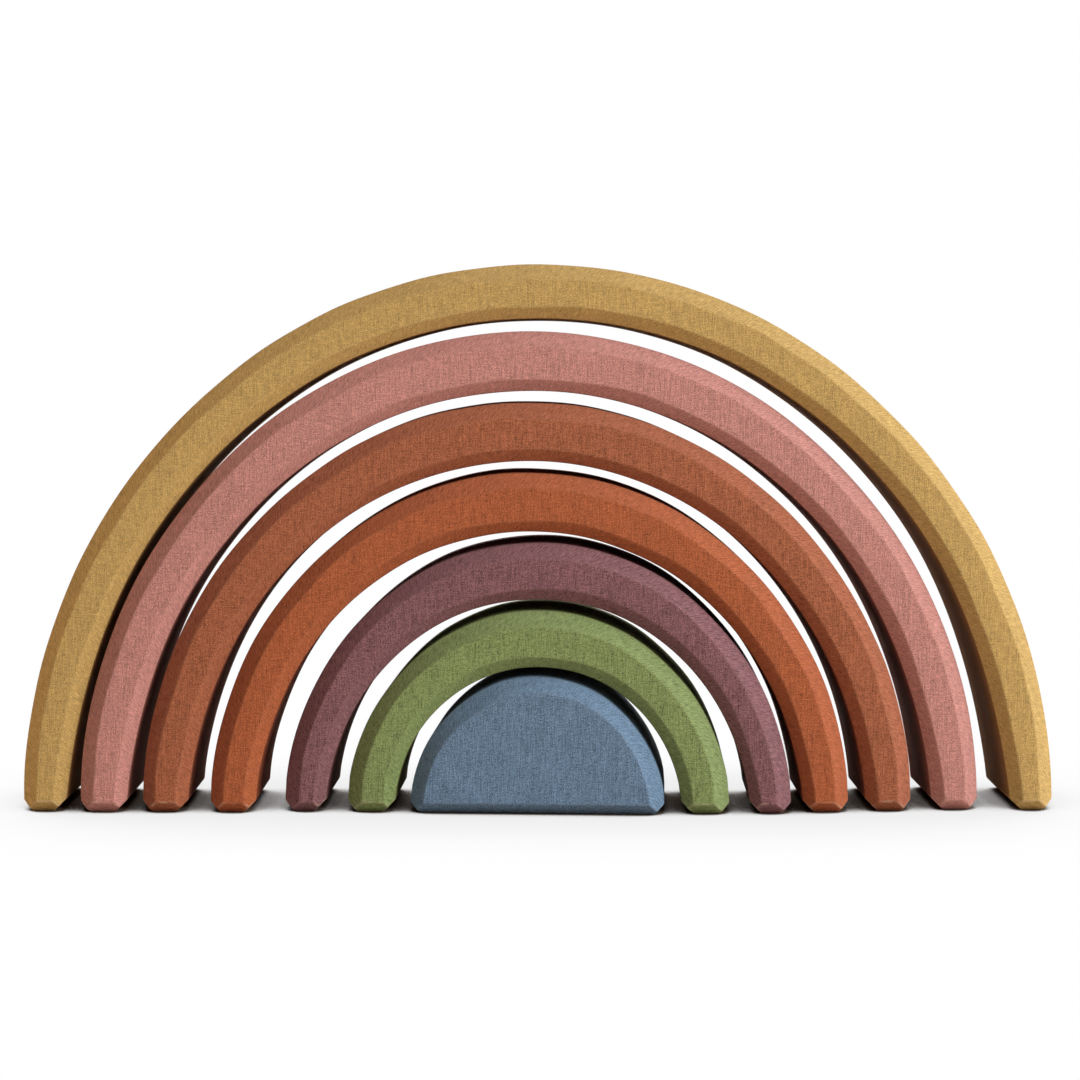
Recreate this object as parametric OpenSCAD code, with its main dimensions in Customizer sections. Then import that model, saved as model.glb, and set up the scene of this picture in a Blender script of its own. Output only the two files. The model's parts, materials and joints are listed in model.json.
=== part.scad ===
// Wooden rainbow stacker: six loose arches nested over a solid half disc.
// Millimetres. X runs along the table, Y runs away from the front, Z is up.
// Every outline is a three-centred half oval: two flank arcs and a crown arc that meet smoothly.
// Each arch is sized from the piece that it stands over, so the nest stays clear at any size.

/* [All pieces] */
// Depth of every piece, front to back
depth = 40; // [30:0.5:60]
// Chamfer along the outer edges, measured on each face
outer_chamfer = 4; // [1:0.1:5]
// Chamfer along the inner edges of an arch
inner_chamfer = 3.2; // [1:0.1:4.5]
// Chamfer around the bottom of each foot
foot_chamfer = 3; // [1:0.1:4]

/* [Blue half disc] */
// Width of the half disc on the table
blue_width = 69.8; // [50:0.1:100]
// Height of the half disc
blue_height = 37.2; // [28:0.1:55]
// Turn on the table, clockwise from above, in degrees
blue_turn = 3; // [-4:0.1:4]

/* [Green arch] */
// Thickness of the legs at the table
green_leg = 13.4; // [10:0.1:20]
// Thickness of the crown
green_crown = 15.3; // [10:0.1:22]
// Gap to the half disc at the left foot
green_gap_left = 3.8; // [2.5:0.1:12]
// Gap to the half disc at the right foot
green_gap_right = 3.9; // [2.5:0.1:12]
// Gap to the half disc at the crown
green_gap_top = 2.5; // [1:0.1:10]
// Turn on the table, clockwise from above, in degrees
green_turn = 2; // [-2.5:0.1:2.5]
// Distance that the arch stands further back than the half disc
green_back = 1.2; // [-5:0.1:5]

/* [Plum arch] */
// Thickness of the legs at the table
plum_leg = 12.5; // [10:0.1:20]
// Thickness of the crown
plum_crown = 15.3; // [10:0.1:22]
// Gap to the green arch at the left foot
plum_gap_left = 4.7; // [2.5:0.1:12]
// Gap to the green arch at the right foot
plum_gap_right = 4; // [2.5:0.1:12]
// Gap to the green arch at the crown
plum_gap_top = 3.1; // [1:0.1:10]
// Turn on the table, clockwise from above, in degrees
plum_turn = 1.5; // [-2:0.1:2]
// Distance that the arch stands further back than the half disc
plum_back = 1.8; // [-5:0.1:5]

/* [Orange arch] */
// Thickness of the legs at the table
orange_leg = 13.6; // [10:0.1:20]
// Thickness of the crown
orange_crown = 15.8; // [10:0.1:22]
// Gap to the plum arch at the left foot
orange_gap_left = 6.9; // [1.5:0.1:12]
// Gap to the plum arch at the right foot
orange_gap_right = 1.7; // [1.5:0.1:12]
// Gap to the plum arch at the crown
orange_gap_top = 3; // [1:0.1:10]
// Turn on the table, clockwise from above, in degrees
orange_turn = 0; // [-1:0.1:1]
// Distance that the arch stands further back than the half disc
orange_back = 2.2; // [-5:0.1:5]

/* [Terracotta arch] */
// Thickness of the legs at the table
terracotta_leg = 14; // [10:0.1:20]
// Thickness of the crown
terracotta_crown = 15.8; // [10:0.1:22]
// Gap to the orange arch at the left foot
terracotta_gap_left = 4.6; // [1.5:0.1:12]
// Gap to the orange arch at the right foot
terracotta_gap_right = 3.2; // [1.5:0.1:12]
// Gap to the orange arch at the crown
terracotta_gap_top = 3.1; // [1:0.1:10]
// Turn on the table, clockwise from above, in degrees
terracotta_turn = -0.4; // [-1:0.1:1]
// Distance that the arch stands further back than the half disc
terracotta_back = 3.4; // [-5:0.1:5]

/* [Pink arch] */
// Thickness of the legs at the table
pink_leg = 14.4; // [10:0.1:20]
// Thickness of the crown
pink_crown = 16; // [10:0.1:22]
// Gap to the terracotta arch at the left foot
pink_gap_left = 2.7; // [1.5:0.1:12]
// Gap to the terracotta arch at the right foot
pink_gap_right = 4; // [1.5:0.1:12]
// Gap to the terracotta arch at the crown
pink_gap_top = 3.1; // [1:0.1:10]
// Turn on the table, clockwise from above, in degrees
pink_turn = -0.8; // [-1:0.1:1]
// Distance that the arch stands further back than the half disc
pink_back = 4.4; // [-5:0.1:5]

/* [Mustard arch] */
// Thickness of the legs at the table
mustard_leg = 13.8; // [10:0.1:20]
// Thickness of the crown
mustard_crown = 14.5; // [10:0.1:22]
// Gap to the pink arch at the left foot
mustard_gap_left = 1.7; // [1.5:0.1:12]
// Gap to the pink arch at the right foot
mustard_gap_right = 6.5; // [1.5:0.1:12]
// Gap to the pink arch at the crown
mustard_gap_top = 3.5; // [1:0.1:10]
// Turn on the table, clockwise from above, in degrees
mustard_turn = -0.3; // [-1:0.1:1]
// Distance that the arch stands further back than the half disc
mustard_back = 4.6; // [-5:0.1:5]

/* [Hidden] */
$fn = 180;

// How far a cutting shape runs past the face that it cuts
overrun = 2;
// Cosine and sine of the angle at which a flank arc becomes the crown arc, from a 3-4-5 triangle
shoulder_cos = 0.6;
shoulder_sin = 0.8;
// How much taller than its half width an oval becomes for each step between its arc centres
rise_per_step = shoulder_cos + shoulder_sin - 1;
// Arc sizes are rounded to this step, so that arcs that meet share their end exactly
grid = 0.01;
// Steps of the grid in a centre step, so that its cosine and sine parts are on the grid too
grid_steps = 5;

function on_grid(size) = round(size / grid) * grid;
// An outline seen from the front is its left foot, its right foot and its crown height
function grown(outline, left, right, top) = [outline[0] - left, outline[1] + right, outline[2] + top];
function middle(outline) = (outline[1] + outline[0]) / 2;
function half_width(outline) = on_grid((outline[1] - outline[0]) / 2);
// Distance between the centre of a flank arc and the centre of the crown arc, below zero on a flat oval
function centre_step(outline) =
    let (rise = outline[2] - half_width(outline))
    grid_steps * on_grid(rise / rise_per_step / grid_steps);
function flank_radius(outline) = half_width(outline) + shoulder_cos * centre_step(outline);
function crown_radius(outline) = flank_radius(outline) - centre_step(outline);

blue_outline = [-blue_width / 2, blue_width / 2, blue_height];
green_hollow = grown(blue_outline, green_gap_left, green_gap_right, green_gap_top);
green_outline = grown(green_hollow, green_leg, green_leg, green_crown);
plum_hollow = grown(green_outline, plum_gap_left, plum_gap_right, plum_gap_top);
plum_outline = grown(plum_hollow, plum_leg, plum_leg, plum_crown);
orange_hollow = grown(plum_outline, orange_gap_left, orange_gap_right, orange_gap_top);
orange_outline = grown(orange_hollow, orange_leg, orange_leg, orange_crown);
terracotta_hollow = grown(orange_outline, terracotta_gap_left, terracotta_gap_right, terracotta_gap_top);
terracotta_outline = grown(terracotta_hollow, terracotta_leg, terracotta_leg, terracotta_crown);
pink_hollow = grown(terracotta_outline, pink_gap_left, pink_gap_right, pink_gap_top);
pink_outline = grown(pink_hollow, pink_leg, pink_leg, pink_crown);
mustard_hollow = grown(pink_outline, mustard_gap_left, mustard_gap_right, mustard_gap_top);
mustard_outline = grown(mustard_hollow, mustard_leg, mustard_leg, mustard_crown);

// Radius against depth. A positive flare widens towards the faces, a negative one is a chamfered rim.
module edge_profile(radius, flare, past) {
    face = depth / 2 + past;
    bend = depth / 2 - abs(flare);
    face_radius = radius + flare + past;
    polygon([[0, -face], [face_radius, -face], [radius, -bend], [radius, bend], [face_radius, face], [0, face]]);
}

// Part of a round drum that lies within an outline of straight lines
module drum_sector(centre, radius, flare, past, corners) {
    intersection() {
        translate(centre)
            rotate_extrude()
                edge_profile(radius, flare, past);
        linear_extrude(height = depth + 4 * overrun, center = true)
            polygon(corners);
    }
}

// Half oval drum with its axis along Y, running a little below the table.
// The tighter arc is a whole drum, and the wider one ends where the two arcs share a tangent.
module half_oval(outline, flare, past) {
    reach = grid_steps * ceil((outline[1] - outline[0] + outline[2]) / grid_steps);
    rise = [shoulder_cos * reach, shoulder_sin * reach];
    flank = [-shoulder_cos * centre_step(outline), 0];
    crown = [0, shoulder_sin * centre_step(outline)];
    tall = centre_step(outline) > 0;
    all_round = [[-reach, -reach], [reach, -reach], [reach, reach], [-reach, reach]];
    above_shoulders = [crown, crown + rise, crown + [-rise[0], rise[1]]];
    below_shoulder = [flank, [flank[0], -overrun], [reach, -overrun], [reach, rise[1]], flank + rise];
    edge = on_grid(flare);
    translate([middle(outline), 0, 0])
        rotate([90, 0, 0]) {
            drum_sector(crown, crown_radius(outline), edge, past, tall ? all_round : above_shoulders);
            for (side = [0, 1])
                mirror([side, 0, 0])
                    drum_sector(flank, flank_radius(outline), edge, past, tall ? below_shoulder : all_round);
        }
}

// Square bar on edge that cuts a foot chamfer along X
module chamfer_along_x(y, length) {
    side = foot_chamfer * sqrt(2);
    translate([0, y, 0])
        rotate([45, 0, 0])
            cube([length, side, side], center = true);
}

// Square bar on edge that cuts a foot chamfer along Y
module chamfer_along_y(x) {
    side = foot_chamfer * sqrt(2);
    translate([x, 0, 0])
        rotate([0, 45, 0])
            cube([side, depth + 2 * overrun, side], center = true);
}

// Everything below the table
module below_table(outline) {
    width = outline[1] - outline[0] + 4 * overrun;
    height = outline[2];
    translate([middle(outline) - width / 2, -depth / 2 - overrun, -height])
        cube([width, depth + 2 * overrun, height]);
}

// Solid piece standing on the table, with its bottom edges chamfered
module standing(outline) {
    length = 2 * (outline[1] - outline[0]);
    difference() {
        half_oval(outline, -outer_chamfer, 0);
        below_table(outline);
        for (y = [-depth / 2, depth / 2])
            translate([middle(outline), 0, 0])
                chamfer_along_x(y, length);
        for (x = [outline[0], outline[1]])
            chamfer_along_y(x);
    }
}

// Arch: a standing piece with its hollow sawn out and the inner foot edges chamfered
module arch(outline, hollow) {
    difference() {
        standing(outline);
        half_oval(hollow, inner_chamfer, overrun);
        for (x = [hollow[0], hollow[1]])
            chamfer_along_y(x);
    }
}

// Turns a piece on the table about its own middle and stands it back from the half disc
module placed(outline, turn, back) {
    translate([middle(outline), back, 0])
        rotate([0, 0, -turn])
            translate([-middle(outline), 0, 0])
                children();
}

module blue_half_disc() {
    color([0.33, 0.43, 0.52])
        placed(blue_outline, blue_turn, 0)
            standing(blue_outline);
}

module green_arch() {
    color([0.45, 0.52, 0.28])
        placed(green_outline, green_turn, green_back)
            arch(green_outline, green_hollow);
}

module plum_arch() {
    color([0.45, 0.30, 0.32])
        placed(plum_outline, plum_turn, plum_back)
            arch(plum_outline, plum_hollow);
}

module orange_arch() {
    color([0.62, 0.33, 0.19])
        placed(orange_outline, orange_turn, orange_back)
            arch(orange_outline, orange_hollow);
}

module terracotta_arch() {
    color([0.58, 0.34, 0.24])
        placed(terracotta_outline, terracotta_turn, terracotta_back)
            arch(terracotta_outline, terracotta_hollow);
}

module pink_arch() {
    color([0.70, 0.45, 0.41])
        placed(pink_outline, pink_turn, pink_back)
            arch(pink_outline, pink_hollow);
}

module mustard_arch() {
    color([0.70, 0.54, 0.30])
        placed(mustard_outline, mustard_turn, mustard_back)
            arch(mustard_outline, mustard_hollow);
}

blue_half_disc();
green_arch();
plum_arch();
orange_arch();
terracotta_arch();
pink_arch();
mustard_arch();
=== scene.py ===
# %% [markdown]
# # A wooden rainbow stacker
# The toy is seven loose blocks of stained hardwood: six arches that nest over a solid half disc. Each
# block was sawn from one plank, chamfered by hand along its edges and dipped in a thin stain, so the
# grain still shows through the colour.
# The CAD frame already holds every block at its real size and place. This lesson measures those plain
# blocks and cuts a finer copy of each one, so nothing here can drift away from the real dimensions.

# %% Load the plain blocks
import json
import math
import random
from types import SimpleNamespace

import bmesh
import bpy
from mathutils import Matrix, Vector
from mathutils.bvhtree import BVHTree

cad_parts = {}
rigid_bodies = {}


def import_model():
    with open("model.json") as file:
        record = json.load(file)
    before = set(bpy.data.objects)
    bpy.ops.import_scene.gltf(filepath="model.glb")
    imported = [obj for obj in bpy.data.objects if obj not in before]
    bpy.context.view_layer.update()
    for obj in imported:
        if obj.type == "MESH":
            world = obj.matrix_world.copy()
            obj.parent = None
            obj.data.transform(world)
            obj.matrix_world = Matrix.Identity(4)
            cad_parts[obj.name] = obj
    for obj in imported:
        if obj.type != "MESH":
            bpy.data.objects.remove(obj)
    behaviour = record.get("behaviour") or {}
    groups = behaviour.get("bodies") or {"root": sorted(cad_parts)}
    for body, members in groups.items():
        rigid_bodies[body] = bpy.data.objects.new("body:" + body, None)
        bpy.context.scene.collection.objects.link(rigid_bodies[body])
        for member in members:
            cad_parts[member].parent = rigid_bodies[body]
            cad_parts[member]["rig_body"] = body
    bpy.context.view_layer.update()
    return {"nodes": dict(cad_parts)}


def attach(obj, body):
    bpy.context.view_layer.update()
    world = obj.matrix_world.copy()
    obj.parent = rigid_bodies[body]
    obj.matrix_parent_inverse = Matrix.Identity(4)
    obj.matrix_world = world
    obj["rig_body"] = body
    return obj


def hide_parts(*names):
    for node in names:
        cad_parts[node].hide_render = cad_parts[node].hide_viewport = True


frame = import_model()

MM = 0.001
NESTED = (
    "blue_half_disc",
    "green_arch",
    "plum_arch",
    "orange_arch",
    "terracotta_arch",
    "pink_arch",
    "mustard_arch",
)

# %% [markdown]
# ## Measuring the blocks
# On the table each block stands turned by a degree or two, so its sizes can't be read from its box.
# A maker would lay it square on the bench first. The callipers below do the same: they find which way
# the front face looks, turn a copy of the corners back, and read the sizes there. A ray cast from the
# middle finds the hollow, because a ray that meets a wall from outside meets a normal facing it.

# %% Callipers for one block
FRONT_FACING = 0.9
TOUCHING = 0.05 * MM


def measure(node):
    """Sizes of one CAD block as it stood before it was turned on the table."""
    mesh = frame["nodes"][node].data
    facing = Vector()
    for face in mesh.polygons:
        if face.normal.y < -FRONT_FACING:
            facing += face.normal * face.area
    turn = math.atan2(facing.x, -facing.y)
    square_up = Matrix.Rotation(-turn, 3, "Z")
    corners = [square_up @ corner.co for corner in mesh.vertices]
    left = min(corner.x for corner in corners)
    right = max(corner.x for corner in corners)
    front = min(corner.y for corner in corners)
    back = max(corner.y for corner in corners)
    middle = (left + right) / 2
    on_front = [corner for corner in corners if corner.y < front + TOUCHING]
    foot = min(corner.z for corner in on_front)
    foot_line = [corner.x - middle for corner in on_front if corner.z < foot + TOUCHING]
    block = SimpleNamespace(
        node=node,
        turn=turn,
        middle=middle,
        front=front,
        back=back,
        foot=foot,
        rim=((right - left) / 2, max(corner.z for corner in corners)),
        rim_chamfer=(right - left) / 2 - max(foot_line),
        hollow=None,
    )
    walls = BVHTree.FromPolygons(corners, [tuple(face.vertices) for face in mesh.polygons])
    probe = Vector((middle, (front + back) / 2, foot))
    _, wall_normal, _, reach = walls.ray_cast(probe, Vector((1, 0, 0)))
    if wall_normal.x < 0:
        ceiling = walls.ray_cast(probe, Vector((0, 0, 1)))[3] + foot
        block.hollow = (reach, ceiling)
        block.hollow_chamfer = min(place for place in foot_line if place > 0) - reach
    return block


# %% Measure all seven
blocks = [measure(node) for node in NESTED]
for block in blocks:
    rim = tuple(round(size / MM, 1) for size in block.rim)
    hollow = block.hollow and tuple(round(size / MM, 1) for size in block.hollow)
    print(block.node, "half width and height", rim, "hollow", hollow, "mm,",
          "turned", round(math.degrees(block.turn), 1), "degrees")

# %% [markdown]
# ## The template
# Each arch follows a half oval that is a little taller or flatter than a half circle. A workshop
# template for it is drawn with three compass arcs: two flanks and a crown that share a tangent at the
# shoulders. Walking by the lean of the outward normal, and not by the angle from the middle, pairs each
# point of the rim with the point of the hollow straight across the wood.

# %% A point on the oval
SHOULDER = Vector((0.6, 0.8))


def oval(size, lean):
    """The point of a half oval where the outward normal has leaned over from the right-hand foot."""
    half_width, height = size
    way = Vector((math.cos(lean), math.sin(lean)))
    step = (height - half_width) / (SHOULDER.x + SHOULDER.y - 1)
    flank_radius = half_width + SHOULDER.x * step
    if abs(way.x) > SHOULDER.x:
        flank_centre = Vector((-math.copysign(SHOULDER.x * step, way.x), 0))
        return flank_centre + way * flank_radius
    return Vector((0, SHOULDER.y * step)) + way * (flank_radius - step)


print("crown of the mustard rim at", round(oval(blocks[-1].rim, math.pi / 2).y / MM, 1), "mm")

# %% [markdown]
# ## An unsteady hand
# Chamfers cut by hand are never quite even: the lines where they meet the faces wander by a few tenths
# of a millimetre. A noise texture could only fake that in the shading. A few slow sine waves with
# seeded phases move the real corners, and the seed makes every run the same.

# %% A wandering line
WAVES = 4
WAVE_LENGTHS = (22 * MM, 110 * MM)


def unsteady(seed, reach):
    """A smooth offset along the wood that strays by up to about reach to either side."""
    dice = random.Random(seed)
    waves = [(dice.uniform(*WAVE_LENGTHS), dice.uniform(0, math.tau)) for _ in range(WAVES)]

    def wander(along):
        return reach * sum(math.sin(math.tau * along / span + phase) for span, phase in waves) / WAVES

    return wander


# The outline of the saw cut strays less than the chamfers that were planed on it afterwards.
STRAY = {
    "outline": 0.16 * MM,
    "front face": 0.42 * MM,
    "front wall": 0.3 * MM,
    "back face": 0.42 * MM,
    "back wall": 0.3 * MM,
}
print("lines that wander:", ", ".join(STRAY))

# %% [markdown]
# ## Sawing the bars
# An arch is one bar of wood bent along the template, with all four long edges chamfered: eight corners
# in section. Bevelling a ready curve would give perfectly even chamfers, so the eight corners are laid
# out ring by ring, each on its own wandering line. The lowest ring lies on the table and the next one
# stays clear of the feet, which leaves whole wood there for the foot chamfers. On the hollow side the
# legs also slim down towards the feet by a millimetre or two, where the band saw ran out of the curve.

# %% How the legs slim down
LEG_SLIMS = {
    "green_arch": 0.5 * MM,
    "plum_arch": 1.4 * MM,
    "orange_arch": 1.2 * MM,
    "terracotta_arch": 1.7 * MM,
    "pink_arch": 1.7 * MM,
    "mustard_arch": 2.3 * MM,
}
SLIM_HEIGHT = 45 * MM


def slimmed(block, height):
    """How much wood the hollow side of a leg has lost at this height above the table."""
    return LEG_SLIMS[block.node] * max(0.0, 1 - height / SLIM_HEIGHT) ** 2


print("the mustard legs lose", round(slimmed(blocks[-1], 0.0) / MM, 1), "mm at the foot")


# %% One chamfered rim
def rim_corners(block, size, chamfer, into_wood, lean, hand):
    """Front wall, back wall, back face and front face corners of one rim at one ring."""
    along = lean * size[1]
    way = Vector((math.cos(lean), math.sin(lean)))
    edge = oval(size, lean) + way * hand["outline"](along)
    if into_wood > 0:
        edge += way * slimmed(block, edge.y)

    def stand(flat, depth):
        return Vector((block.middle + flat.x, depth, flat.y))

    front_edge = edge + way * into_wood * (chamfer + hand["front face"](along))
    back_edge = edge + way * into_wood * (chamfer + hand["back face"](along))
    return (
        stand(edge, block.front + chamfer + hand["front wall"](along)),
        stand(edge, block.back - chamfer + hand["back wall"](along)),
        stand(back_edge, block.back),
        stand(front_edge, block.front),
    )


def hands_for(block, rim_name):
    """One set of wandering lines for the rim or the hollow of a block."""
    return {line: unsteady(f"{block.node} {rim_name} {line}", reach) for line, reach in STRAY.items()}


# %% Where the rings stand
RING_GAP = 2.5 * MM
CLEAR_OF_FEET = 6.5 * MM


def ring_leans(block):
    """Leans of all rings, from the right-hand foot over the crown to the left-hand foot."""
    first = math.asin(CLEAR_OF_FEET / min(block.hollow or block.rim))
    count = math.ceil((math.pi - 2 * first) * block.rim[1] / RING_GAP)
    spread = [first + (math.pi - 2 * first) * ring / count for ring in range(count + 1)]
    return [0.0, *spread, math.pi]


print("the mustard arch takes", len(ring_leans(blocks[-1])), "rings")

# %% Skin the rings
# Which sides of a ring are chamfers, which outer chamfers carry a painted sheen, and which wall of the
# hollow is darkened with painted shade.
ARCH_FINISHES = {"chamfered": (1, 3, 5, 7), "painted_sheen": (1, 7), "hollow_shade": (4,)}
HALF_DISC_FINISHES = {"chamfered": (1, 3), "painted_sheen": (1, 3), "hollow_shade": ()}


def skin(rings, sides, finishes, across, leans, radius):
    """A mesh of strips between rings, with a grain map along and across the wood."""
    bm = bmesh.new()
    grain = bm.loops.layers.uv.new("grain")
    layers = {name: bm.faces.layers.float.new(name) for name in (*finishes, "worn")}
    rows = [[bm.verts.new(corner) for corner in ring] for ring in rings]
    for low in range(len(rows) - 1):
        for side, following in sides:
            strip = (rows[low][side], rows[low + 1][side], rows[low + 1][following], rows[low][following])
            face = bm.faces.new(strip)
            for name, on_sides in finishes.items():
                face[layers[name]] = side in on_sides
            reach = (across[side], across[side], across[side + 1], across[side + 1])
            spots = (leans[low], leans[low + 1], leans[low + 1], leans[low])
            for loop, lean, sideways in zip(face.loops, spots, reach):
                loop[grain].uv = (lean * radius, sideways)
    return bm, rows


def running_width(corners):
    """How far each corner lies along the section's outline, starting from the first."""
    places = [0.0]
    for corner, following in zip(corners, corners[1:] + corners[:1]):
        places.append(places[-1] + (following - corner).length)
    return places


# %% Saw an arch
def saw_arch(block):
    """The bent bar of one arch, closed at both feet."""
    rim_hand = hands_for(block, "rim")
    hollow_hand = hands_for(block, "hollow")
    leans = ring_leans(block)
    rings = []
    for lean in leans:
        outer = rim_corners(block, block.rim, block.rim_chamfer, -1, lean, rim_hand)
        inner = rim_corners(block, block.hollow, block.hollow_chamfer, 1, lean, hollow_hand)
        rings.append([*outer[:3], inner[2], inner[1], inner[0], inner[3], outer[3]])
    corners = len(rings[0])
    sides = [(side, (side + 1) % corners) for side in range(corners)]
    bm, rows = skin(rings, sides, ARCH_FINISHES, running_width(rings[0]), leans, block.rim[1])
    bm.faces.new(rows[0])
    bm.faces.new(rows[-1])
    return bm


# %% Saw the half disc
def saw_half_disc(block):
    """The solid half disc: one chamfered rim, two flat faces and a flat bottom."""
    hand = hands_for(block, "rim")
    leans = ring_leans(block)
    rings = [list(rim_corners(block, block.rim, block.rim_chamfer, -1, lean, hand)) for lean in leans]
    sides = [(0, 1), (1, 2), (3, 0)]
    bm, rows = skin(rings, sides, HALF_DISC_FINISHES, running_width(rings[0]), leans, block.rim[1])
    bm.faces.new([row[3] for row in rows])
    bm.faces.new([row[2] for row in rows])
    right, left = rows[0], rows[-1]
    bm.faces.new((right[3], right[0], right[1], right[2], left[2], left[1], left[0], left[3]))
    return bm


# %% [markdown]
# ## Sawing the feet
# Every foot has its bottom edges cut off at 45 degrees, which leaves a small six-sided facet at the
# front of each leg. The Bevel tool would try to follow the long chamfers round these corners. A flat
# saw cut is what was really done, so the mesh is bisected by a plane and the cut is closed with one
# flat face.

# %% One flat cut
SNAP = 0.001 * MM


def saw_off(bm, point, outward, within):
    """Cut away what lies beyond a plane, among the corners that within() picks, and close the cut."""
    corners = [vert for vert in bm.verts if within(vert.co)]
    picked = set(corners)
    edges = [edge for edge in bm.edges if picked.issuperset(edge.verts)]
    faces = [face for face in bm.faces if picked.issuperset(face.verts)]
    cut = bmesh.ops.bisect_plane(
        bm,
        geom=[*corners, *edges, *faces],
        dist=SNAP,
        plane_co=point,
        plane_no=outward,
        clear_outer=True,
    )
    lips = [part for part in cut["geom_cut"] if isinstance(part, bmesh.types.BMEdge)]
    bmesh.ops.edgeloop_fill(bm, edges=lips)


# %% All the cuts of one block
LEG_REACH = 12 * MM


def saw_feet(bm, block):
    """Cut the foot chamfers: each leg of an arch by itself, and the half disc all along its bottom."""
    foot = block.foot
    ends = [(block.front + foot, Vector((0, -1, -1))), (block.back - foot, Vector((0, 1, -1)))]
    for side in (1, -1):
        def on_leg(spot, side=side):
            return block.hollow is None or (spot.z < LEG_REACH and (spot.x - block.middle) * side > 0)

        outside = block.middle + side * (block.rim[0] - foot)
        saw_off(bm, Vector((outside, 0, 0)), Vector((side, 0, -1)), on_leg)
        if block.hollow:
            inside = block.middle + side * (block.hollow[0] + slimmed(block, 0.0) + foot)
            saw_off(bm, Vector((inside, 0, 0)), Vector((-side, 0, -1)), on_leg)
        if block.hollow or side == 1:
            for depth, outward in ends:
                saw_off(bm, Vector((0, depth, 0)), outward, on_leg)


# %% [markdown]
# ## Easing the edges
# A toy for small hands has no sharp edge left: every ridge is rubbed down to a small round, and there
# the stain wears thin first. Blender's bevel does the rounding on each edge that turns enough to be a
# ridge. The faces it returns are remembered in an attribute, so the finish can find the worn edges.

# %% Round every ridge
RIDGE = math.radians(18)
EASE = 0.4 * MM
EASE_STEPS = 3
ROUND_PROFILE = 0.5
FOOT_WEAR = 1.0
HALF_DISC_WEAR = 0.22
LONG_WEAR = 0.08
# A rounded strip belongs to the foot if it lies below this many foot chamfers.
FOOT_ZONE = 1.6


def ease_edges(bm, block):
    """Round the ridges of a block and mark how worn each rounded strip is."""
    bmesh.ops.recalc_face_normals(bm, faces=bm.faces)
    ridges = [edge for edge in bm.edges if edge.is_manifold and edge.calc_face_angle() > RIDGE]
    eased = bmesh.ops.bevel(
        bm,
        geom=ridges,
        offset=EASE,
        offset_type="OFFSET",
        segments=EASE_STEPS,
        profile=ROUND_PROFILE,
        affect="EDGES",
        clamp_overlap=True,
    )
    worn = bm.faces.layers.float["worn"]
    foot_wear = FOOT_WEAR if block.hollow else HALF_DISC_WEAR
    for face in eased["faces"]:
        near_foot = face.calc_center_median().z < block.foot * FOOT_ZONE
        face[worn] = foot_wear if near_foot else LONG_WEAR
    return len(ridges)


# %% [markdown]
# ## Setting the blocks out
# Each finished block goes back to the turn it had on the table, rides on the same body as its CAD
# block and stands in for it. The mesh holds its place and the object stays at the origin, just as the
# CAD blocks do. Smooth shading with weighted normals keeps the flat faces flat and the ridges round.

# %% Cut and place one block
FLAT_FACE_WEIGHT = 70


def make_block(block):
    """Saw, ease and set out one block, and return its object."""
    bm = saw_arch(block) if block.hollow else saw_half_disc(block)
    saw_feet(bm, block)
    ridges = ease_edges(bm, block)
    for face in bm.faces:
        face.smooth = True
    bm.transform(Matrix.Rotation(block.turn, 4, "Z"))
    mesh = bpy.data.meshes.new(block.node + "_wood")
    bm.to_mesh(mesh)
    bm.free()
    wood = bpy.data.objects.new(block.node + "_wood", mesh)
    bpy.context.scene.collection.objects.link(wood)
    shading = wood.modifiers.new("flat faces stay flat", "WEIGHTED_NORMAL")
    shading.weight = FLAT_FACE_WEIGHT
    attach(wood, frame["nodes"][block.node]["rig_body"])
    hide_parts(block.node)
    print(wood.name, "has", len(mesh.polygons), "faces and", ridges, "eased ridges")
    return wood


wooden = {block.node: make_block(block) for block in blocks}

# %% [markdown]
# ## The stained wood
# The wood is pale and close-grained, and the stain is thin: it sinks into the fibres, so each flat face
# breaks up into thin upright streaks, cross marks from the sander and a fine speckle, much like linen.
# The chamfers show slanted sanding strokes instead, the outer ones carry a paler, cooler painted sheen,
# and the wall of each hollow is darkened with painted shade. A photo of wood would stretch over the
# chamfers. Noise in the object's own space runs through the solid instead, as grain does, and every
# block gets its own piece of it by a shift of the coordinates.

# %% Helpers for building a finish
NOISE_AVERAGE = 0.5
# Where a Mix node keeps its colours, after the sockets for plain numbers.
FIRST_COLOUR = 6
SECOND_COLOUR = 7
MIXED_COLOUR = 2


def fit(tree, kind, inputs, **settings):
    """Add one shader node: sockets among the inputs are linked, plain values are typed in."""
    part = tree.nodes.new(kind)
    for name, value in settings.items():
        setattr(part, name, value)
    for name, value in inputs.items():
        if isinstance(value, bpy.types.NodeSocket):
            tree.links.new(value, part.inputs[name])
        else:
            part.inputs[name].default_value = value
    return part


def marks(tree, spots, shift, size, detail=1.0, turned=(0, 0, 0)):
    """Noise whose marks are about this long in each direction, in metres."""
    laid = fit(tree, "ShaderNodeMapping", {
        "Vector": spots,
        "Location": shift,
        "Rotation": turned,
        "Scale": size,
    }, vector_type="TEXTURE")
    cloud = fit(tree, "ShaderNodeTexNoise", {
        "Vector": laid.outputs["Vector"],
        "Scale": 1.0,
        "Detail": detail,
    })
    return cloud.outputs[0]


def heap(tree, noises, weights):
    """Add up noises by weight, so that the sum has the average of a single noise."""
    total = NOISE_AVERAGE - NOISE_AVERAGE * sum(weights.values())
    for name, weight in weights.items():
        total = fit(tree, "ShaderNodeMath", {0: noises[name], 1: weight, 2: total},
                    operation="MULTIPLY_ADD").outputs[0]
    return total


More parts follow.
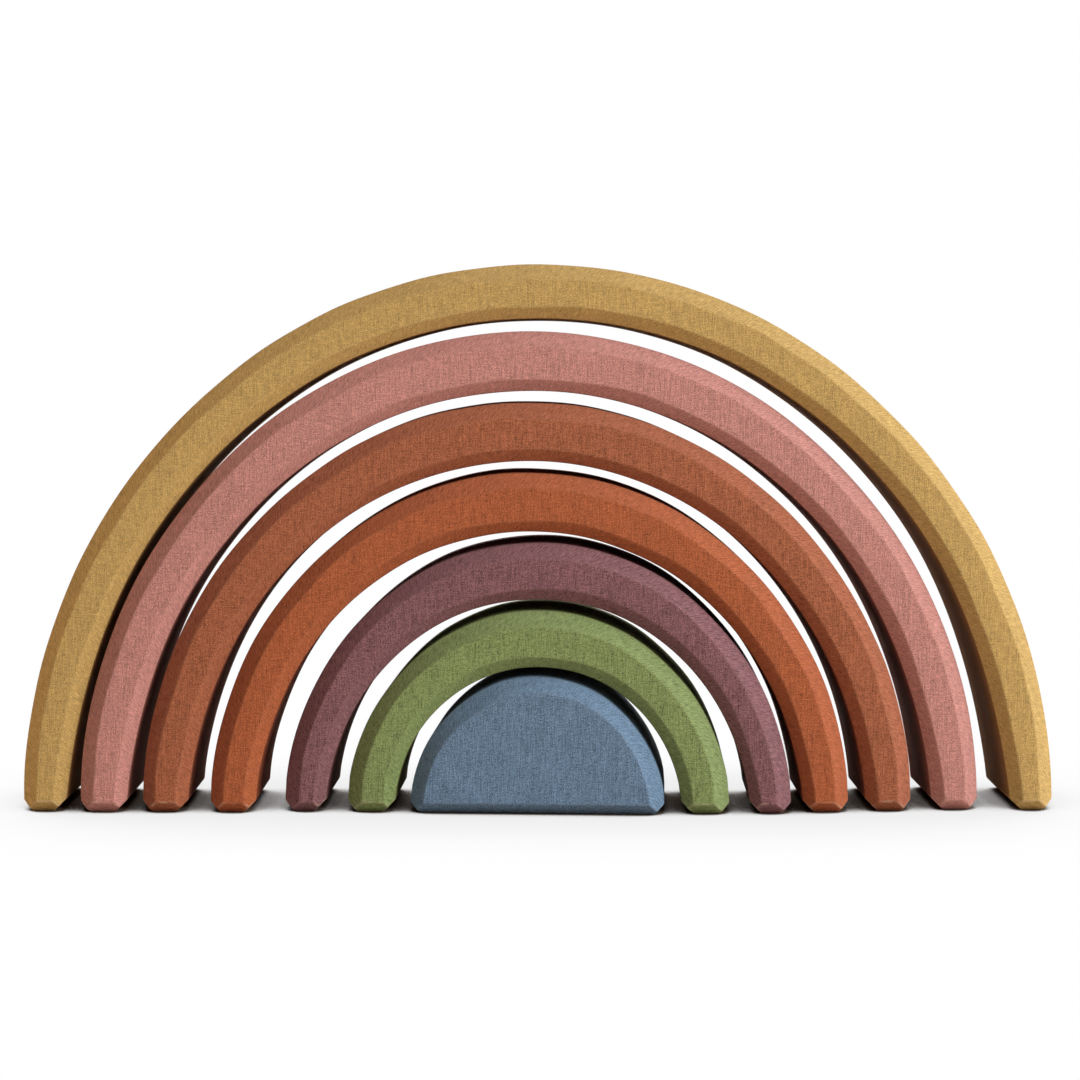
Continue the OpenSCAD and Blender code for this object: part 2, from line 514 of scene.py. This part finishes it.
def between(tree, value, low, high, to_low=0.0, to_high=1.0):
    """Stretch a range of values to another range, clamped at both ends."""
    return fit(tree, "ShaderNodeMapRange", {
        "Value": value,
        "From Min": low,
        "From Max": high,
        "To Min": to_low,
        "To Max": to_high,
    }, interpolation_type="SMOOTHSTEP").outputs["Result"]


def product(tree, first, second):
    """Multiply two values."""
    return fit(tree, "ShaderNodeMath", {0: first, 1: second}, operation="MULTIPLY").outputs[0]


def tinted(tree, amount, first, second, blend="MIX"):
    """Mix two colours."""
    mix = fit(tree, "ShaderNodeMix", {0: amount}, data_type="RGBA", blend_type=blend)
    for place, colour in ((FIRST_COLOUR, first), (SECOND_COLOUR, second)):
        if isinstance(colour, bpy.types.NodeSocket):
            tree.links.new(colour, mix.inputs[place])
        else:
            mix.inputs[place].default_value = (*colour, 1)
    return mix.outputs[MIXED_COLOUR]


# %% The stain colours
# Linear colours, as they look on the front faces under a plain light.
STAINS = {
    "blue_half_disc": (0.143, 0.209, 0.287),
    "green_arch": (0.219, 0.263, 0.092),
    "plum_arch": (0.222, 0.095, 0.097),
    "orange_arch": (0.387, 0.101, 0.036),
    "terracotta_arch": (0.348, 0.106, 0.047),
    "pink_arch": (0.508, 0.217, 0.174),
    "mustard_arch": (0.500, 0.307, 0.098),
}
# How strongly the grain shows through each stain: the paler ones hide it more.
GRAIN_SHOWS = {
    "blue_half_disc": 0.70,
    "green_arch": 0.72,
    "plum_arch": 0.82,
    "orange_arch": 0.62,
    "terracotta_arch": 0.68,
    "pink_arch": 0.58,
    "mustard_arch": 0.52,
}
print(len(STAINS), "stains")

# %% The marks in the wood
# How long one mark is: across the front, into the wood and upright.
STREAK = (0.16 * MM, 0.16 * MM, 4.5 * MM)
CROSS_MARK = (2.2 * MM, 0.15 * MM, 0.15 * MM)
SPECK = (0.16 * MM, 0.16 * MM, 0.16 * MM)
MOTTLE = (7 * MM, 7 * MM, 16 * MM)
PORE = (0.4 * MM, 0.4 * MM, 1.6 * MM)
WORN_PATCH = (2.5 * MM, 2.5 * MM, 2.5 * MM)
# A sanding stroke lies on the grain map instead: along the bar and across it.
STROKE = (0.22 * MM, 2.4 * MM, 1)
STROKE_SLANT = math.radians(38)
# The noise lies askew to the faces: along its lattice a flat face shows bands of strong and weak grain.
ASKEW = math.radians(35)
# Each block's piece of the noise lies this many metres on from the last one's.
SHIFT = 0.37


def wood_marks(tree, number):
    """Every kind of mark in one block's piece of the noise."""
    spots = fit(tree, "ShaderNodeTexCoord", {}).outputs["Object"]
    lie = fit(tree, "ShaderNodeUVMap", {}, uv_map="grain").outputs["UV"]
    shift = (SHIFT * number, SHIFT * number / 2, 0)
    return {
        "streaks": marks(tree, spots, shift, STREAK, turned=(0, 0, ASKEW)),
        "cross": marks(tree, spots, shift, CROSS_MARK, turned=(ASKEW, 0, 0)),
        "speckle": marks(tree, spots, shift, SPECK, turned=(ASKEW, 0, ASKEW)),
        "mottle": marks(tree, spots, shift, MOTTLE, detail=2.0),
        "strokes": marks(tree, lie, shift, STROKE, turned=(0, 0, STROKE_SLANT)),
        "pores": marks(tree, spots, shift, PORE),
        "patches": marks(tree, spots, shift, WORN_PATCH),
    }


print("an upright streak is about", round(STREAK[2] / MM, 1), "mm long")

# %% How the stain takes
# How much each kind of mark counts in the tone of the flat faces and of the chamfers.
FACE_TONE = {"streaks": 1.1, "cross": 0.9, "speckle": 3.0, "mottle": 0.15}
CHAMFER_TONE = {"strokes": 1.2, "speckle": 2.2, "mottle": 0.15}
# Three ranges of a noise: where most of it lies, a narrower one for patches, and its peaks.
COMMON_NOISE = (0.3, 0.7)
PATCHY_NOISE = (0.35, 0.65)
PEAK_NOISE = (0.70, 0.78)
# A painted sheen on the outer chamfers mixes in a brighter stain with a cool bloom, by a least and a
# greatest share.
SHEEN_STAIN = 1.5
SHEEN_BLOOM = (0.05, 0.08, 0.10)
SHEEN_SHARE = (0.03, 0.13)
# Painted shade darkens the wall of a hollow by a factor each for red, green and blue.
HOLLOW_SHADE = (0.52, 0.42, 0.36)
# A pore mixes in a darker stain.
PORE_STAIN = 0.45
PORE_SHARE = 0.45
# Wear mixes in part bare wood and part stain, by a least and a greatest share.
BARE_WOOD = (0.62, 0.46, 0.31)
WORN_WOOD = 0.5
WORN_STAIN = 0.6
WORN_SHARE = (0.05, 0.55)


def stain_colour(tree, node, noises, places):
    """The stain of one block on the faces, chamfers, pores and worn edges, with a painted sheen on the
    outer chamfers and painted shade on the hollow wall.
    """
    stain = Vector(STAINS[node])
    linen = heap(tree, noises, FACE_TONE)
    sanded = heap(tree, noises, CHAMFER_TONE)
    both = fit(tree, "ShaderNodeMix", {"Factor": places["chamfered"], "A": linen, "B": sanded})
    tone = both.outputs["Result"]
    colour = tinted(tree, tone, stain * (1 - GRAIN_SHOWS[node]), stain * (1 + GRAIN_SHOWS[node]))

    # Painted sheen: the outer chamfers turn paler and cooler along the sanding strokes.
    sheen_share = between(tree, noises["strokes"], *COMMON_NOISE, *SHEEN_SHARE)
    painted_sheen = product(tree, places["painted_sheen"], sheen_share)
    colour = tinted(tree, painted_sheen, colour, stain * SHEEN_STAIN + Vector(SHEEN_BLOOM))
    # Painted shade: the wall of the hollow is darkened.
    colour = tinted(tree, places["hollow_shade"], colour, HOLLOW_SHADE, blend="MULTIPLY")

    pores = product(tree, between(tree, noises["pores"], *PEAK_NOISE), PORE_SHARE)
    colour = tinted(tree, pores, colour, stain * PORE_STAIN)
    patches = between(tree, noises["patches"], *PATCHY_NOISE, *WORN_SHARE)
    worn = product(tree, places["worn"], patches)
    return tinted(tree, worn, colour, Vector(BARE_WOOD) * WORN_WOOD + stain * WORN_STAIN)


print("the tone of a flat face is made of", ", ".join(FACE_TONE))

# %% The stained finish
RELIEF = {"streaks": 0.5, "speckle": 0.6, "scratches": 0.6}
RELIEF_STRENGTH = 0.8
RELIEF_DEPTH = 0.1 * MM
MATT = (0.8, 0.92)
GLOSS = 0.2


def stained_wood(node, number):
    """The whole finish of one block: colour, relief and a matt surface."""
    material = bpy.data.materials.new(node + "_stain")
    material.use_nodes = True
    tree = material.node_tree
    tree.nodes.clear()
    noises = wood_marks(tree, number)
    places = {
        name: fit(tree, "ShaderNodeAttribute", {}, attribute_name=name).outputs["Fac"]
        for name in ("chamfered", "painted_sheen", "hollow_shade", "worn")
    }
    noises["scratches"] = product(tree, noises["strokes"], places["chamfered"])
    relief = fit(tree, "ShaderNodeBump", {
        "Strength": RELIEF_STRENGTH,
        "Distance": RELIEF_DEPTH,
        "Height": heap(tree, noises, RELIEF),
    })
    surface = fit(tree, "ShaderNodeBsdfPrincipled", {
        "Base Color": stain_colour(tree, node, noises, places),
        "Roughness": between(tree, noises["mottle"], *COMMON_NOISE, *MATT),
        "Specular IOR Level": GLOSS,
        "Normal": relief.outputs["Normal"],
    })
    fit(tree, "ShaderNodeOutputMaterial", {"Surface": surface.outputs[0]})
    return material


for number, (node, wood) in enumerate(wooden.items()):
    wood.data.materials.append(stained_wood(node, number))
print("stained", len(wooden), "blocks")

# %% [markdown]
# ## The table
# The toy stands on a plain pale table that melts into a white background, with dark contact shadows
# only close to the wood and between the feet. These shadows are painted: ambient occlusion measures how
# much of the sky over a spot is hidden by something near. Where nothing is near, the camera sees plain
# white; where the wood stands close, the table's colour is darkened to a painted deep shade. A second,
# wider reach dims the white a little around the toy as a painted soft shadow, so that it doesn't float.
# All other rays meet the painted table top with the same painted contact shade.

# %% The table top
TABLE_HALF = 2.0


def lay_table():
    """A wide flat table top under the blocks."""
    bm = bmesh.new()
    ends = (-TABLE_HALF, TABLE_HALF)
    near, far = [[bm.verts.new((x, y, 0)) for x in ends] for y in ends]
    bm.faces.new((near[0], near[1], far[1], far[0]))
    mesh = bpy.data.meshes.new("table_top")
    bm.to_mesh(mesh)
    bm.free()
    table = bpy.data.objects.new("table_top", mesh)
    bpy.context.scene.collection.objects.link(table)
    return table


# %% The pale table finish
WHITE = (1, 1, 1, 1)
TABLE_PAINT = (0.84, 0.80, 0.75)
# The table's colour close to the wood: a painted contact shade.
CONTACT_SHADE = (0.10, 0.07, 0.05)
# How far each painted shadow reaches, and how much open sky a spot has at its middle and at its rim.
CONTACT_REACH = 13 * MM
CONTACT_SKY = (0.31, 0.60)
SOFT_REACH = 80 * MM
SOFT_SKY = (0.45, 0.97)
SOFT_SHADOW = 0.84
SKY_SAMPLES = 12


def open_sky(tree, reach):
    """The share of the sky over a spot that nothing within reach hides."""
    return fit(tree, "ShaderNodeAmbientOcclusion", {"Distance": reach}, samples=SKY_SAMPLES).outputs["AO"]


def pale_table():
    """Pale paint darkened to a painted contact shade near the wood, and white to the camera elsewhere,
    dimmed to a painted soft shadow around the toy.
    """
    material = bpy.data.materials.new("pale_table")
    material.use_nodes = True
    tree = material.node_tree
    tree.nodes.clear()
    clear = between(tree, open_sky(tree, CONTACT_REACH), *CONTACT_SKY)
    softly = between(tree, open_sky(tree, SOFT_REACH), *SOFT_SKY, SOFT_SHADOW, 1.0)
    seen = fit(tree, "ShaderNodeLightPath", {}).outputs["Is Camera Ray"]
    shade = tinted(tree, clear, CONTACT_SHADE, TABLE_PAINT)
    paint = fit(tree, "ShaderNodeBsdfDiffuse", {"Color": shade})
    white = fit(tree, "ShaderNodeEmission", {"Color": WHITE, "Strength": softly})
    mixed = fit(tree, "ShaderNodeMixShader", {
        0: product(tree, clear, seen),
        1: paint.outputs[0],
        2: white.outputs[0],
    })
    fit(tree, "ShaderNodeOutputMaterial", {"Surface": mixed.outputs[0]})
    return material


table = lay_table()
table.data.materials.append(pale_table())
print("table laid,", 2 * TABLE_HALF, "m wide")

# %% [markdown]
# ## The light
# One large soft lamp stands to the right and in front, so the chamfers that face right are bright and
# those that face left are dark. A weaker one further round brightens the right-hand chamfers. A low
# warm one on the left reaches only the outermost arch, as light off a far wall would, and the last one
# lights the back. The room adds a warm glow that dies away to the left. The world is plain white only
# where the camera looks straight at it: nothing here is metal or glass, and a white room for the gloss
# as well would lay a grey veil over the dark walls of the gaps.

# %% The room
FAR_WALL_TINT = (1.0, 0.62, 0.42)
NEAR_WALL_TINT = (1.0, 0.90, 0.84)
BRIGHT_SIDE = (0.87, -0.47, 0.15)
DIM_WALL = 0.02
BRIGHT_WALL = 0.53
# How far a direction leans to the bright side, as a dot product, at the dim wall and at the bright one.
FALLOFF = (-0.6, 1.0)


def light_room():
    """A white background for the eye, and for the wood a dim warm glow, stronger from the lamp's side."""
    world = bpy.data.worlds.new("studio_room")
    world.use_nodes = True
    tree = world.node_tree
    tree.nodes.clear()
    toward = fit(tree, "ShaderNodeTexCoord", {}).outputs["Generated"]
    facing = fit(tree, "ShaderNodeVectorMath", {0: toward, 1: BRIGHT_SIDE}, operation="DOT_PRODUCT")
    strength = between(tree, facing.outputs["Value"], *FALLOFF, DIM_WALL, BRIGHT_WALL)
    nearness = between(tree, facing.outputs["Value"], *FALLOFF)
    tint = tinted(tree, nearness, FAR_WALL_TINT, NEAR_WALL_TINT)
    glow = fit(tree, "ShaderNodeBackground", {"Color": tint, "Strength": strength})
    white = fit(tree, "ShaderNodeBackground", {"Color": WHITE, "Strength": 1.0})
    seen = fit(tree, "ShaderNodeLightPath", {}).outputs["Is Camera Ray"]
    mixed = fit(tree, "ShaderNodeMixShader", {0: seen, 1: glow.outputs[0], 2: white.outputs[0]})
    fit(tree, "ShaderNodeOutputWorld", {"Surface": mixed.outputs[0]})
    bpy.context.scene.world = world


light_room()
print("room glow from", DIM_WALL, "to", BRIGHT_WALL)

# %% The lamps
AIM = Vector((0, 0, 60 * MM))


def hang_lamp(name, azimuth, elevation, distance, width, watts, tint):
    """A square soft lamp aimed at the toy, with its azimuth in degrees to the right of the front."""
    turn, lift = math.radians(azimuth), math.radians(elevation)
    way = Vector((math.sin(turn) * math.cos(lift), -math.cos(turn) * math.cos(lift), math.sin(lift)))
    light = bpy.data.lights.new(name, "AREA")
    light.shape = "SQUARE"
    light.size = width
    light.energy = watts
    light.color = tint
    lamp = bpy.data.objects.new(name, light)
    lamp.location = AIM + way * distance
    lamp.rotation_mode = "QUATERNION"
    lamp.rotation_quaternion = (-way).to_track_quat("-Z", "Y")
    lamp.visible_camera = False
    bpy.context.scene.collection.objects.link(lamp)
    print(name, "hangs at", [round(part, 2) for part in lamp.location], "m")


hang_lamp(
    "window_side_lamp",
    azimuth=56, elevation=31, distance=2.2,
    width=0.9, watts=43.5, tint=(0.90, 1.0, 1.09),
)
hang_lamp(
    "right_strip_lamp",
    azimuth=86, elevation=16, distance=2.0,
    width=0.8, watts=6.0, tint=(0.88, 1.0, 1.12),
)
hang_lamp(
    "left_wall_lamp",
    azimuth=-100, elevation=14, distance=1.8,
    width=0.6, watts=8.5, tint=(1.0, 0.66, 0.38),
)
hang_lamp(
    "back_lamp",
    azimuth=180, elevation=32, distance=1.6,
    width=0.5, watts=11.0, tint=(1.0, 0.98, 0.95),
)

# %% [markdown]
# ## The camera
# The picture was taken from straight ahead, a little above the middle of the toy and only two thirds
# of a metre away, so the camera looks slightly down and sees into the gaps on both sides.

# %% Place the camera
EYE = Vector((0, -665.4 * MM, 121.3 * MM))
LOOK_DOWN = math.radians(4.146)
# Blender gives the lens and the sensor in millimetres.
SENSOR_WIDTH = 36.0
FOCAL_LENGTH = 80.65

lens = bpy.data.cameras.new("front_camera")
lens.sensor_width = SENSOR_WIDTH
lens.lens = FOCAL_LENGTH
camera = bpy.data.objects.new("front_camera", lens)
camera.location = EYE
camera.rotation_euler = (math.pi / 2 - LOOK_DOWN, 0, 0)
bpy.context.scene.collection.objects.link(camera)
bpy.context.scene.camera = camera
bpy.context.scene.view_settings.view_transform = "Standard"
print("camera", round(EYE.length, 2), "m from the middle of the toy")
